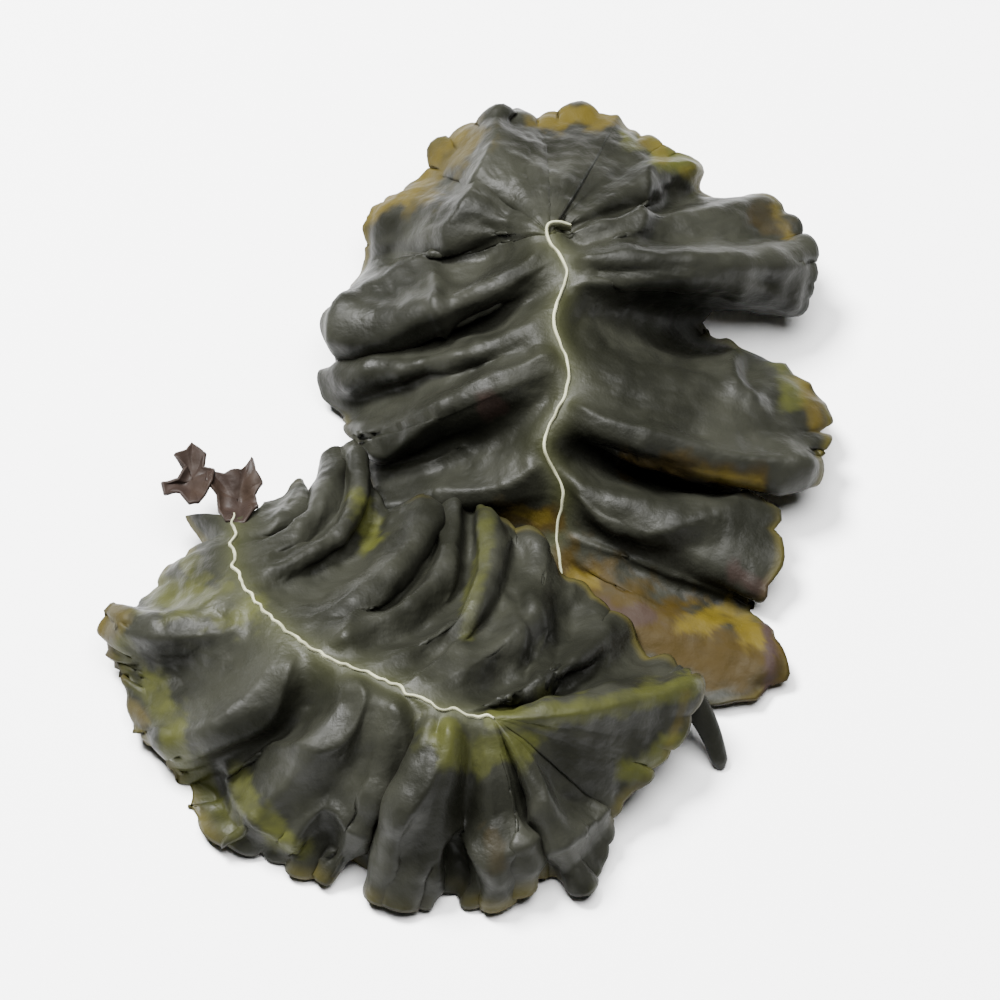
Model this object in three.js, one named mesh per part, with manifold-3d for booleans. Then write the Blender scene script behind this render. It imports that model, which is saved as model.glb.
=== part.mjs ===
// Dried mekabu: the two ruffled frills of one seaweed, cut from its stem and dried together. Millimetres, +Z up.
// Each frill is a thin leathery sheet. Its cut edge runs along the top as a narrow pale rim, and the sheet falls
// away to both sides of it in folds that fan out from the edge. The front frill lies against the rear one. +Y is
// the longest side. The origin is on the surface that it rests on, under the middle of its box.
import * as THREE from "three";
import { mergeVertices } from "three/addons/utils/BufferGeometryUtils.js";
import Module from "manifold-3d";

const edgeWidth = 1.3; // of the pale cut face
const marginThickness = 0.9; // of the sheet out to its margin
const edgeRise = 0.9; // how far the cut face stands proud of the folds
const edgeShoulder = 1.2; // half the width of the rim below the cut face
const domePower = 1.35; // how late the sheet turns down on its way to the margin
const liftedFrom = 13; // how far from the cut edge the creases reach their full lift
const crowdedWithin = 9; // how far from the cut edge the creases crowd together
const crowdedThinning = 0.6; // the share of its thickness that the sheet keeps there
const crestSharpness = 0.6; // 0 for round crests, 1 for creased ones
const columnsPerCrease = 4;
const rowsPerSide = 8;

const throughPoints = (...points) =>
  new THREE.CatmullRomCurve3(
    points.map((point) => new THREE.Vector3(...point)),
    false,
    "centripetal",
  );

// Each frill has its cut edge, from its free end to the place that its last creases fan out round, and a list of
// creases for its right and its left side, as seen along the edge. Each crest or hollow leaves the cut edge at a
// distance along it, and runs on a bearing (degrees from +X towards +Y) for its reach, bowed to the left of that
// bearing, down to the height of its rim. Its lift is how far it stands above the plain dome of that side, or
// below it. Calm is the share of its lift that a crease loses by the margin.
const frontFrill = {
  cutEdge: throughPoints(
    [-33.2, 33.1, 14],
    [-32.3, 17.2, 18.5],
    [-25.6, 4, 22.5],
    [-14.2, -7.8, 26],
    [-4.8, -12.9, 27.3],
    [5.7, -19.6, 28],
    [16, -21.5, 27],
  ),
  right: {
    calm: 0,
    creases: [
      { along: 2, bearing: 150, reach: 11, bow: 0, rim: 8, lift: 1 },
      { along: 6, bearing: 156, reach: 7, bow: 0, rim: 7, lift: -1.2 },
      { along: 9.5, bearing: 166, reach: 12, bow: 0, rim: 6, lift: 1.5 },
      { along: 14, bearing: 190, reach: 18, bow: 2, rim: 4, lift: -2 },
      { along: 18, bearing: 184, reach: 24, bow: 11, rim: 11, lift: 4 },
      { along: 28, bearing: 181, reach: 31, bow: 9, rim: 5, lift: -4 },
      { along: 38, bearing: 196, reach: 27, bow: 10, rim: 3, lift: 4 },
      { along: 46, bearing: 211, reach: 31, bow: 6, rim: 1, lift: -5 },
      { along: 55, bearing: 221, reach: 31, bow: 4, rim: 1, lift: 4 },
      { along: 60, bearing: 232, reach: 30, bow: 3, rim: 1, lift: 0 },
      { along: 64, bearing: 242, reach: 26, bow: 3, rim: 1, lift: 3 },
      { along: 69, bearing: 243, reach: 25, bow: 2, rim: 3, lift: -5.5 },
      { along: 72, bearing: 245, reach: 29, bow: 1, rim: 1, lift: 3.5 },
      { along: 75, bearing: 253, reach: 30, bow: 1, rim: 1, lift: 2.5 },
      { along: 78, bearing: 262, reach: 26, bow: 1, rim: 2, lift: -3 },
      { along: 80, bearing: 274, reach: 28, bow: 1, rim: 1, lift: 2 },
      { along: 82, bearing: 287, reach: 23, bow: 0.5, rim: 2, lift: 4 },
      { along: 84, bearing: 299, reach: 23, bow: 0, rim: 3, lift: -3.5 },
      { along: 86.5, bearing: 309, reach: 28, bow: 0, rim: 1, lift: 3 },
      { along: 88.5, bearing: 323, reach: 26, bow: 0, rim: 3, lift: 0 },
      { along: 90, bearing: 339, reach: 23, bow: 0, rim: 6, lift: 0.5 },
    ],
  },
  left: {
    calm: 0.4,
    creases: [
      { along: 1, bearing: 41, reach: 7, bow: 0, rim: 10, lift: 0.5 },
      { along: 5, bearing: 55, reach: 20, bow: -6, rim: 8, lift: 2 },
      { along: 9, bearing: 57, reach: 24, bow: -5, rim: 6, lift: -2 },
      { along: 12, bearing: 62, reach: 32, bow: -9, rim: 8, lift: 2.5 },
      { along: 16, bearing: 60, reach: 34, bow: -9, rim: 7, lift: -1.5 },
      { along: 20, bearing: 63, reach: 44, bow: -11, rim: 8, lift: 3.5 },
      { along: 25, bearing: 46, reach: 33, bow: -2, rim: 7, lift: -3 },
      { along: 36, bearing: 56, reach: 46, bow: -9, rim: 10, lift: 3 },
      { along: 41, bearing: 60, reach: 50, bow: -9, rim: 8, lift: -1 },
      { along: 46, bearing: 62, reach: 53, bow: -10, rim: 11, lift: 2.5 },
      { along: 51, bearing: 65, reach: 55, bow: -10, rim: 7, lift: -4.5 },
      { along: 56, bearing: 66, reach: 54, bow: -11, rim: 11, lift: 3.5 },
      { along: 61, bearing: 65, reach: 51, bow: -9, rim: 8, lift: -3 },
      { along: 67, bearing: 63, reach: 53, bow: -9, rim: 10, lift: 4 },
      { along: 73, bearing: 58, reach: 48, bow: -6, rim: 6, lift: -3.5 },
      { along: 77, bearing: 51, reach: 44, bow: -5, rim: 8, lift: 2 },
      { along: 80, bearing: 41, reach: 43, bow: 0, rim: 7, lift: -4 },
      { along: 82.6, bearing: 25, reach: 42, bow: -2, rim: 13, lift: 3 },
      { along: 85, bearing: 8, reach: 33, bow: -1, rim: 11, lift: 1.5 },
      { along: 87.5, bearing: -6, reach: 27, bow: 0, rim: 9, lift: 1 },
      { along: 90, bearing: -21, reach: 23, bow: 0, rim: 6, lift: 0.5 },
    ],
  },
};
const rearFrill = {
  cutEdge: throughPoints(
    [28.9, 25.7, 3],
    [27.9, 32.7, 7],
    [29, 38, 14.5],
    [25.6, 44.4, 21],
    [29.8, 53.9, 25],
    [30.2, 58.5, 26.3],
    [27.4, 68.1, 28],
    [29.8, 79.5, 29],
    [26.6, 87.3, 30.3],
  ),
  right: {
    calm: 0,
    creases: [
      { along: 0, bearing: -65, reach: 27, bow: 0, rim: 1, lift: 0.5 },
      { along: 3, bearing: -35, reach: 48, bow: -3, rim: 2, lift: 1 },
      { along: 6, bearing: -25, reach: 45, bow: -3, rim: 3, lift: 1.5 },
      { along: 11, bearing: -20, reach: 38, bow: -2, rim: 2, lift: -2.5 },
      { along: 16, bearing: -22, reach: 42, bow: 1, rim: 5, lift: 2 },
      { along: 20, bearing: -5, reach: 41, bow: -3, rim: 8, lift: 2 },
      { along: 26, bearing: 7, reach: 40, bow: 0, rim: 3, lift: -3 },
      { along: 34, bearing: -3, reach: 49, bow: -6, rim: 9, lift: 4 },
      { along: 41, bearing: 1, reach: 49, bow: -5, rim: 9, lift: 0 },
      { along: 49, bearing: 7, reach: 48, bow: -5, rim: 9, lift: -1.5 },
      { along: 58, bearing: 25, reach: 34, bow: -6, rim: 2, lift: -3 },
      { along: 62.5, bearing: 11, reach: 47, bow: 0, rim: 8, lift: 1 },
      { along: 67, bearing: 17, reach: 49, bow: -5, rim: 13, lift: 4 },
      { along: 71, bearing: 18, reach: 48, bow: -1, rim: 12, lift: 0.5 },
      { along: 74.5, bearing: 26, reach: 48, bow: -2, rim: 13, lift: 1.5 },
      { along: 76.5, bearing: 38, reach: 42, bow: -1, rim: 7, lift: -2 },
      { along: 78, bearing: 44, reach: 45, bow: 0, rim: 9, lift: 2.5 },
      { along: 79.2, bearing: 53, reach: 44, bow: 2, rim: 7, lift: -0.5 },
      { along: 80.2, bearing: 61, reach: 45, bow: 0, rim: 8, lift: 1 },
      { along: 81.2, bearing: 71, reach: 47, bow: -1, rim: 9, lift: 0 },
    ],
  },
  left: {
    calm: 0,
    creases: [
      { along: 0, bearing: 175, reach: 31, bow: 0, rim: 1, lift: 0.3 },
      { along: 8, bearing: 176, reach: 34, bow: -2, rim: 1, lift: -1 },
      { along: 17, bearing: 174, reach: 38, bow: 0, rim: 3, lift: 2 },
      { along: 28, bearing: 172, reach: 36, bow: 0, rim: 2, lift: -2 },
      { along: 44, bearing: 185, reach: 40, bow: 3, rim: 6, lift: 3 },
      { along: 50, bearing: 180, reach: 43, bow: 3, rim: 3, lift: -1 },
      { along: 55, bearing: 176, reach: 44, bow: 6, rim: 5, lift: 1 },
      { along: 61, bearing: 175, reach: 44, bow: 4, rim: 3, lift: -2.5 },
      { along: 69, bearing: 181, reach: 43, bow: 8, rim: 8, lift: 3 },
      { along: 73, bearing: 164, reach: 40, bow: 3, rim: 5, lift: -3 },
      { along: 76, bearing: 158, reach: 40, bow: 1, rim: 8, lift: 0 },
      { along: 76.8, bearing: 153, reach: 42, bow: -1, rim: 10, lift: 1 },
      { along: 77.6, bearing: 138, reach: 41, bow: -1, rim: 9, lift: 0 },
      { along: 78.2, bearing: 136, reach: 38, bow: -4, rim: 6, lift: -1 },
      { along: 78.8, bearing: 123, reach: 41, bow: 0, rim: 10, lift: 1 },
      { along: 79.4, bearing: 109, reach: 41, bow: 3, rim: 14, lift: 4 },
      { along: 80, bearing: 96, reach: 42, bow: 1, rim: 11, lift: 2 },
      { along: 80.4, bearing: 91, reach: 43, bow: 0, rim: 9, lift: -1 },
      { along: 80.8, bearing: 83, reach: 46, bow: -1, rim: 10, lift: 1 },
      { along: 81.2, bearing: 71, reach: 47, bow: -1, rim: 9, lift: 0 },
    ],
  },
};

// The torn dry scrap beyond the tip, in plan, and the height that it lies at.
const scrapOutline = [
  [-31.2, 31.7],
  [-28.1, 35.9],
  [-29.1, 38],
  [-27.7, 40.8],
  [-29.4, 43.6],
  [-30.2, 46.8],
  [-32.3, 44.3],
  [-35, 43.1],
  [-39, 43.8],
  [-38.8, 47.3],
  [-41.6, 50.3],
  [-44.5, 46.6],
  [-42.4, 44.3],
  [-43.7, 41.7],
  [-46.9, 41],
  [-46.7, 38.7],
  [-43.7, 38.2],
  [-41.8, 35.7],
  [-40.3, 35.4],
  [-38.4, 38],
  [-35.7, 38.5],
  [-36.1, 35],
  [-34.6, 31.7],
];
const scrapHeight = 11;

const { clamp, lerp, degToRad } = THREE.MathUtils;

// A smooth value at a place in a list of creases, where place 0 is the first one.
function between(creases, field, place) {
  const last = creases.length - 1;
  const index = clamp(Math.floor(place), 0, last - 1);
  const t = place - index;
  const [a, b, c, d] = [-1, 0, 1, 2].map((step) => creases[clamp(index + step, 0, last)][field]);
  const slopeIn = (c - a) / 2;
  const slopeOut = (d - b) / 2;
  const rise = c - b;
  return b + t * (slopeIn + t * (3 * rise - 2 * slopeIn - slopeOut + t * (slopeIn + slopeOut - 2 * rise)));
}

// The lift at a place, round in the hollows and sharper over the crests.
function liftAt(creases, place) {
  const last = creases.length - 1;
  const index = clamp(Math.floor(place), 0, last - 1);
  const t = place - index;
  const { lift: from } = creases[index];
  const { lift: to } = creases[index + 1];
  const creased = from > to ? 2 * t - t * t : t * t;
  const round = t * t * (3 - 2 * t);
  return lerp(from, to, lerp(round, creased, crestSharpness));
}

// The place in a list of creases of a distance along the cut edge.
function placeOf(creases, along) {
  const next = creases.findIndex((crease) => crease.along >= along);
  if (next < 0) return creases.length - 1;
  if (next === 0) return 0;
  const [from, to] = [creases[next - 1].along, creases[next].along];
  return next - 1 + (along - from) / (to - from);
}

const sideOf = (frill, side) => (side < 0 ? frill.right : frill.left);

function reachAt(frill, side, along) {
  const { creases } = sideOf(frill, side);
  return between(creases, "reach", placeOf(creases, along));
}

// A point of the plain dome of a frill. Side is -1 for its right and 1 for its left. Share runs from 0 at the cut
// edge to 1 at the margin.
function domePoint(frill, side, along, share) {
  const start = frill.cutEdge.getPointAt(clamp(along / frill.cutEdge.getLength(), 0, 1));
  const { creases } = sideOf(frill, side);
  const place = placeOf(creases, along);
  const bearing = degToRad(between(creases, "bearing", place));
  const out = share * between(creases, "reach", place);
  const aside = 4 * share * (1 - share) * between(creases, "bow", place);
  return new THREE.Vector3(
    start.x + out * Math.cos(bearing) - aside * Math.sin(bearing),
    start.y + out * Math.sin(bearing) + aside * Math.cos(bearing),
    lerp(start.z, between(creases, "rim", place), share ** domePower),
  );
}

// The way in which the sheet is lifted or thickened: along the normal of a surface, given as a function of frill,
// side, along and share, but straight up beside the cut edge, where the creases crowd together.
function liftingWay(surface, frill, side, along, share) {
  const alongStep = 0.01;
  const shareStep = 0.001;
  const outer = Math.max(share, 2 * shareStep);
  const at = (a, s) => surface(frill, side, a, s);
  const run = at(along + alongStep, outer).sub(at(along - alongStep, outer));
  const outward = at(along, outer + shareStep).sub(at(along, outer - shareStep));
  const normal = run.cross(outward).multiplyScalar(side).normalize();
  const away = clamp((share * reachAt(frill, side, along)) / crowdedWithin, 0, 1);
  return new THREE.Vector3(0, 0, 1).lerp(normal, away).normalize();
}

// A point of the folded sheet, halfway through its thickness and no lower than it can lie.
function foldPoint(frill, side, along, share) {
  const { creases, calm } = sideOf(frill, side);
  const grown = clamp((share * reachAt(frill, side, along)) / liftedFrom, 0, 1);
  const lift = liftAt(creases, placeOf(creases, along)) * grown * (1 - calm * share ** 2);
  const point = domePoint(frill, side, along, share);
  point.addScaledVector(liftingWay(domePoint, frill, side, along, share), lift);
  point.z = Math.max(point.z, marginThickness / 2);
  return point;
}

// The distances from the cut edge at which the rows of the grid run, as shares of the reach.
function rowShares(frill, side, along) {
  const reach = reachAt(frill, side, along);
  const inner = edgeShoulder / reach;
  const shares = [edgeWidth / 2 / reach, inner];
  for (let row = 2; row < rowsPerSide; row++)
    shares.push(lerp(inner, 1, ((row - 1) / (rowsPerSide - 2)) ** 1.2));
  return shares;
}

// The point of one face of a side, some rows out from the cut edge. Face is 1 for the top and -1 for below.
function sidePoint(frill, face, side, along, row) {
  const share = rowShares(frill, side, along)[row];
  const away = clamp((share * reachAt(frill, side, along)) / crowdedWithin, 0, 1);
  const half = (marginThickness / 2) * lerp(crowdedThinning, 1, away);
  const point = foldPoint(frill, side, along, share);
  point.addScaledVector(liftingWay(foldPoint, frill, side, along, share), face * half);
  if (row === 0) point.z += edgeRise;
  return point;
}

// The point of one face at a column and a row of the grid, whose rows run from the right margin over the cut edge
// to the left margin. The creases close round the end of the edge, so both sides end on the same line.
function facePoint(frill, face, column, row) {
  const lastPlace = frill.right.creases.length - 1;
  const place = column / columnsPerCrease;
  const index = Math.min(Math.floor(place), lastPlace - 1);
  const meanAlong = (crease) => (frill.right.creases[crease].along + frill.left.creases[crease].along) / 2;
  const along = lerp(meanAlong(index), meanAlong(index + 1), place - index);
  const side = row < rowsPerSide ? -1 : 1;
  const rowOut = side < 0 ? rowsPerSide - 1 - row : row - rowsPerSide;
  const point = sidePoint(frill, face, side, along, rowOut);
  return place === lastPlace ? point.lerp(sidePoint(frill, face, -side, along, rowOut), 0.5) : point;
}

// The whole sheet of a frill, with a wall along each margin and across its free end, but none on the line where it
// closes round. Both of its faces are split into triangles alike.
function sheetGeometry(frill) {
  const columns = (frill.right.creases.length - 1) * columnsPerCrease;
  const rows = 2 * rowsPerSide - 1;
  const positions = [];
  for (const face of [1, -1])
    for (let column = 0; column <= columns; column++)
      for (let row = 0; row <= rows; row++) positions.push(...facePoint(frill, face, column, row).toArray());
  const index = (face, column, row) => (face * (columns + 1) + column) * (rows + 1) + row;
  const triangles = [];
  const quad = (a, b, c, d) => triangles.push(a, b, c, a, c, d);
  for (let column = 0; column < columns; column++)
    for (let row = 0; row < rows; row++) {
      const corners = [
        [column, row],
        [column + 1, row],
        [column + 1, row + 1],
        [column, row + 1],
      ];
      quad(...corners.map(([c, r]) => index(0, c, r)));
      quad(...corners.reverse().map(([c, r]) => index(1, c, r)));
    }
  const wall = (from, to) => quad(index(0, ...to), index(0, ...from), index(1, ...from), index(1, ...to));
  for (let column = 0; column < columns; column++) {
    wall([column, 0], [column + 1, 0]);
    wall([column + 1, rows], [column, rows]);
  }
  for (let row = 0; row < rows; row++) wall([0, row + 1], [0, row]);
  const geometry = new THREE.BufferGeometry();
  geometry.setAttribute("position", new THREE.Float32BufferAttribute(positions, 3));
  geometry.setIndex(triangles);
  return geometry;
}

// The scrap is a flat torn piece, a little curled, that grows out of the sheet at the tip.
function scrapGeometry() {
  const outline = new THREE.Shape(scrapOutline.map(([x, y]) => new THREE.Vector2(x, y)));
  const geometry = new THREE.ExtrudeGeometry(outline, { depth: marginThickness, bevelEnabled: false });
  geometry.translate(0, 0, scrapHeight);
  const position = geometry.getAttribute("position");
  for (let i = 0; i < position.count; i++) {
    const curl = 1.2 * Math.sin(position.getX(i) * 0.45 + position.getY(i) * 0.3);
    position.setZ(i, position.getZ(i) + curl);
  }
  return geometry;
}

const wasm = await Module();
wasm.setup();

// A solid of a closed geometry, with its shared vertices merged and the triangles that this flattens left out.
function solidOf(geometry) {
  geometry.deleteAttribute("normal");
  geometry.deleteAttribute("uv");
  const merged = mergeVertices(geometry, 1e-3);
  const corners = merged.index.array;
  const triangles = [];
  for (let i = 0; i < corners.length; i += 3) {
    const [a, b, c] = corners.slice(i, i + 3);
    if (a !== b && b !== c && c !== a) triangles.push(a, b, c);
  }
  return new wasm.Manifold(
    new wasm.Mesh({
      numProp: 3,
      vertProperties: merged.getAttribute("position").array,
      triVerts: new Uint32Array(triangles),
    }),
  );
}

function geometryOf(solid) {
  const mesh = solid.getMesh();
  const geometry = new THREE.BufferGeometry();
  geometry.setAttribute("position", new THREE.BufferAttribute(mesh.vertProperties, 3));
  geometry.setIndex(new THREE.BufferAttribute(mesh.triVerts, 1));
  return geometry;
}

const [front, rear, scrap] = [sheetGeometry(frontFrill), sheetGeometry(rearFrill), scrapGeometry()].map(solidOf);
const joined = front.add(rear).add(scrap);
const [wholeMekabu] = joined.decompose().sort((a, b) => b.volume() - a.volume());

const frillGeometry = geometryOf(wholeMekabu);
frillGeometry.computeBoundingBox();
const { min, max } = frillGeometry.boundingBox;
frillGeometry.translate(-(min.x + max.x) / 2, -(min.y + max.y) / 2, -min.z);
frillGeometry.computeVertexNormals();

const frills = new THREE.Mesh(
  frillGeometry,
  new THREE.MeshStandardMaterial({ color: 0x23261c, roughness: 0.45, metalness: 0 }),
);
frills.name = "frills";

const mekabu = new THREE.Group();
mekabu.add(frills);

export default mekabu;
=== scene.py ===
# Dried mekabu: two ruffled frills of dried seaweed lying together on a pale floor. Metres, +Z up.
import bpy
import math
import numpy as np
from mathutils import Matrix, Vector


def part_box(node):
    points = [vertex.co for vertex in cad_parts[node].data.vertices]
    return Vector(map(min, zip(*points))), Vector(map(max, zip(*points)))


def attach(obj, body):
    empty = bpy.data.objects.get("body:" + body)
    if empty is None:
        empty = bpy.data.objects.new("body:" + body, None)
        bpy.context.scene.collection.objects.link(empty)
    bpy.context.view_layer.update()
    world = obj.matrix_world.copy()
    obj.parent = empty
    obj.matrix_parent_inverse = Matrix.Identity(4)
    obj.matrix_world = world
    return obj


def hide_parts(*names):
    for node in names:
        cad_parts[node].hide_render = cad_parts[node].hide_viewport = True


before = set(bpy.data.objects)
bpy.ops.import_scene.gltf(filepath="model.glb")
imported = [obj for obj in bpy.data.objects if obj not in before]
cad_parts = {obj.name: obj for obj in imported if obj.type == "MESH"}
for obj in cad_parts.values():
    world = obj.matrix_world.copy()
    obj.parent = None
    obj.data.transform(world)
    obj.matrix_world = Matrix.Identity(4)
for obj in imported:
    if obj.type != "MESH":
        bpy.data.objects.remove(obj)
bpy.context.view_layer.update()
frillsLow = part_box("frills")[0]
mm = 0.001

# The reference view: looking down on the frills from the front, with 0.19 mm to a pixel.
view = {
    "elevation": math.radians(55),
    "pixel": 0.19,
    "originPixel": (410, 700),
    "imageSize": 1000,
    "distance": 1200,
    "tablesLow": (-58.234, -51.045, 0.0),  # lowest corner of the solid in the crease tables' own frame
}

# The form of the sheets, in millimetres. Each crest or hollow leaves the cut edge at a distance along it
# and runs on a bearing for its reach, bowed to the left, down to the height of its rim. Its lift is how far
# it stands off the plain dome. Right and left are as seen along the cut edge.
creaseFields = ("along", "bearing", "reach", "bow", "rim", "lift")
frontFrill = {
    "edge": [
        (-33.2, 33.1, 14),
        (-32.3, 17.2, 18.5),
        (-25.6, 4, 22.5),
        (-14.2, -7.8, 26),
        (-4.8, -12.9, 27.3),
        (5.7, -19.6, 28),
        (16, -21.5, 27),
    ],
    "right": [
        (2, 150, 11, 0, 8, 1),
        (6, 156, 7, 0, 7, -1.2),
        (9.5, 166, 12, 0, 6, 1.5),
        (14, 181, 19, 4, 5, -1.5),
        (18, 184, 24, 8, 9, 2.4),
        (28, 183, 30, 8, 5, -3.4),
        (38, 196, 27, 10, 3, 4),
        (46, 211, 31, 6, 1, -5),
        (55, 221, 31, 4, 1, 4),
        (60, 232, 30, 3, 1, 0),
        (64, 242, 26, 3, 1, 3),
        (69, 243, 25, 2, 3, -5.5),
        (72, 245, 25.5, 1, 1, 3.2),
        (75, 253, 25.5, 1, 1, 2.5),
        (78, 262, 24, 1, 2, -3),
        (80, 274, 24.5, 1, 1, 2),
        (82, 287, 20.5, 0.5, 2, 3.5),
        (84, 299, 21, 0, 3, -3),
        (86.5, 309, 25.5, 0, 1, 2.6),
        (88.5, 323, 26, 0, 3, 0),
        (90, 339, 23, 0, 6, 0.5),
    ],
    "left": [
        (1, 41, 7, 0, 10, 0.5),
        (5, 55, 20, -6, 8, 2),
        (9, 57, 24, -5, 6, -2),
        (12, 60, 33, -8, 9, 1.5),
        (16, 61, 39, -9, 9, -0.8),
        (20, 62, 44, -10, 10, 1.6),
        (25, 52, 37, -4, 9, -1.8),
        (36, 56, 46, -9, 11, 2),
        (41, 60, 50, -9, 8, -1),
        (46, 62, 53, -10, 11, 2.5),
        (51, 65, 55, -10, 9.5, -2.2),
        (56, 66, 53, -11, 11.5, 2),
        (61, 65, 52, -9, 10, -1.2),
        (67, 63, 52, -9, 11, 2),
        (73, 58, 48, -6, 8, -2),
        (77, 51, 44, -5, 8, 2),
        (80, 41, 43, 0, 7, -4),
        (82.6, 25, 42, -2, 13, 3),
        (85, 8, 33, -1, 11, 1.5),
        (87.5, -6, 27, 0, 9, 1),
        (90, -21, 23, 0, 6, 0.5),
    ],
    "calm": {"right": 0.1, "left": 0.72},
}
rearFrill = {
    "edge": [
        (28.9, 25.7, 3),
        (27.9, 32.7, 7),
        (29, 38, 14.5),
        (25.6, 44.4, 21),
        (29.8, 53.9, 25),
        (30.2, 58.5, 26.3),
        (27.4, 68.1, 28),
        (29.8, 79.5, 29),
        (26.6, 87.3, 30.3),
    ],
    "right": [
        (0, -65, 27, 0, 1, 0.5),
        (3, -35, 48, -3, 2, 1),
        (6, -25, 45, -3, 3, 1.5),
        (11, -20, 38, -2, 2, -2.5),
        (16, -22, 42, 1, 5, 2),
        (20, -5, 41, -3, 8, 2),
        (26, 7, 40, 0, 3, -3),
        (34, -3, 49, -6, 9, 4),
        (41, 1, 49, -5, 9, 0),
        (49, 7, 48, -5, 9, -1.5),
        (58, 25, 34, -6, 2, -3),
        (62.5, 11, 47, 0, 8, 1),
        (67, 17, 49, -5, 13, 4),
        (71, 18, 48, -1, 12, 0.5),
        (74.5, 26, 48, -2, 13, 1.5),
        (76.5, 38, 40, -1, 11, -0.5),
        (78, 44, 41, 0, 15, 0.5),
        (79.2, 53, 39, 1, 16, 0),
        (80.2, 61, 40, 0, 17, 0),
        (81.2, 71, 42, -1, 17, 0),
    ],
    "left": [
        (0, 175, 31, 0, 1, 0.3),
        (8, 176, 34, -2, 1, -1),
        (17, 174, 38, 0, 3, 2),
        (28, 172, 36, 0, 2, -2),
        (44, 185, 40, 3, 6, 3),
        (50, 180, 43, 3, 3, -1),
        (55, 176, 44, 6, 5, 1),
        (61, 175, 44, 4, 3, -2.5),
        (69, 181, 43, 8, 8, 3),
        (73, 164, 40, 3, 5, -3),
        (76, 158, 40, 1, 8, 0),
        (76.8, 153, 41, -1, 12, 0.3),
        (77.6, 143, 38.5, -1, 13, 0),
        (78.2, 133, 36, -2, 13, 0),
        (78.8, 123, 37.5, 0, 15, 0.5),
        (79.4, 109, 37.5, 1, 17, 1),
        (80, 98, 38, 0, 17, 0.8),
        (80.4, 90, 38.5, 0, 17, 0),
        (80.8, 81, 41, -1, 17, 0.3),
        (81.2, 71, 42, -1, 17, 0),
    ],
    "calm": {"right": 0.2, "left": 0.3},
}
sheet = {
    "thickness": 0.7,
    "power": 1.35,
    "liftedFrom": 15,
    "crowdedWithin": 9,
    "crestSharpness": 0.45,
    "columns": 366,
    "rows": 67,
    "buckle": 0.28,
    "raggedness": 2.4,
    "raggedFrom": 7,
    "crumple": 0.13,
    "curl": 1.0,
    "curlFrom": 5,
    "firmRim": 0.35,  # share of the smaller folds that is left at the margin
    "haloWidth": 2,
    "rimWidth": 2.2,
    "pitch": {"teeth": 13, "buckle": 13, "curl": 18, "crumple": 2.6},
    "seed": {"teeth": 11, "buckle": 21, "curl": 31, "crumple": 61},
}


def ridge(path, width, height, ends=(1, 1)):
    # a ridge of the folds, creased at its crest, along a path in pixels of the reference view; its height and
    # half its breadth are in mm, and the ends are the shares of the height that it starts and ends with
    return {"path": path, "width": 2 * width, "height": 0.95 * height, "sharp": 1.05, "ends": ends}


def furrow(path, width, height, ends=(1, 1)):
    # a hollow with a round bottom, of a height below zero
    return {"path": path, "width": 1.7 * width, "height": 0.85 * height, "sharp": 1.5, "ends": ends}


def patch(kind, path, width, amount):
    # a patch of another colour along a path, with half its breadth in pixels; the gold and amber kinds are
    # the thin sheets' own tint together with painted light shining through them
    return {"kind": kind, "path": path, "width": width, "amount": amount}


frontRightForms = [
    ridge([(256, 585), (245, 615), (240, 630), (200, 634), (140, 630), (118, 612)], 1.9, 2.46),
    furrow([(262, 605), (240, 655), (200, 672), (150, 690)], 3.4, -2),
    ridge([(303, 650), (290, 680), (275, 710), (220, 733), (190, 745), (165, 738)], 1.8, 2.75),
    furrow([(330, 668), (310, 705), (285, 730), (245, 742)], 2.6, -2.75),
    ridge([(365, 680), (370, 700), (350, 725), (320, 740), (280, 745), (240, 757)], 1.5, 3.19),
    ridge([(240, 757), (243, 790), (265, 812), (290, 827)], 1.1, 2.32),
    furrow([(226, 770), (230, 800), (258, 832), (300, 848)], 2.0, -2.5),
    ridge([(400, 700), (404, 745), (392, 785)], 4.4, 2.17),
    ridge([(382, 797), (400, 793)], 2.6, 2.03),
    ridge([(303, 855), (305, 820), (325, 798), (345, 797), (362, 815), (367, 858)], 1.1, 2.9),
    furrow([(335, 824), (338, 858)], 2.4, -2.5),
    furrow([(380, 805), (372, 832), (370, 862)], 1.5, -3),
    ridge([(452, 717), (445, 750), (420, 790), (395, 830), (380, 870), (372, 893)], 1.4, 3.04),
    furrow([(443, 707), (440, 724)], 0.8, -1.75),
    ridge([(438, 888), (436, 835), (452, 813), (472, 825), (490, 850), (501, 882)], 1.1, 3.19),
    furrow([(455, 836), (464, 870)], 2.3, -3.5),
    ridge([(440, 900), (460, 890), (510, 890)], 0.9, 1.74),
    ridge([(500, 720), (525, 745), (535, 770), (540, 800), (532, 822), (505, 836)], 1.5, 2.9),
    furrow([(420, 815), (408, 850), (402, 890)], 2.6, -1.5),
    furrow([(480, 740), (490, 775), (492, 805)], 3.5, -1.5),
    furrow([(507, 722), (545, 760), (562, 785), (598, 800)], 2.0, -2.5),
    ridge([(528, 856), (560, 830), (600, 801)], 1.4, 2.61),
    ridge([(600, 800), (640, 776), (665, 745), (690, 682)], 1.1, 2.46),
    furrow([(622, 862), (640, 815), (662, 782)], 2.0, -2.25),
    furrow([(560, 866), (585, 842), (622, 826)], 1.8, -1.5),
    ridge([(575, 886), (600, 858), (634, 842)], 1.1, 1.74),
]
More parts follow.
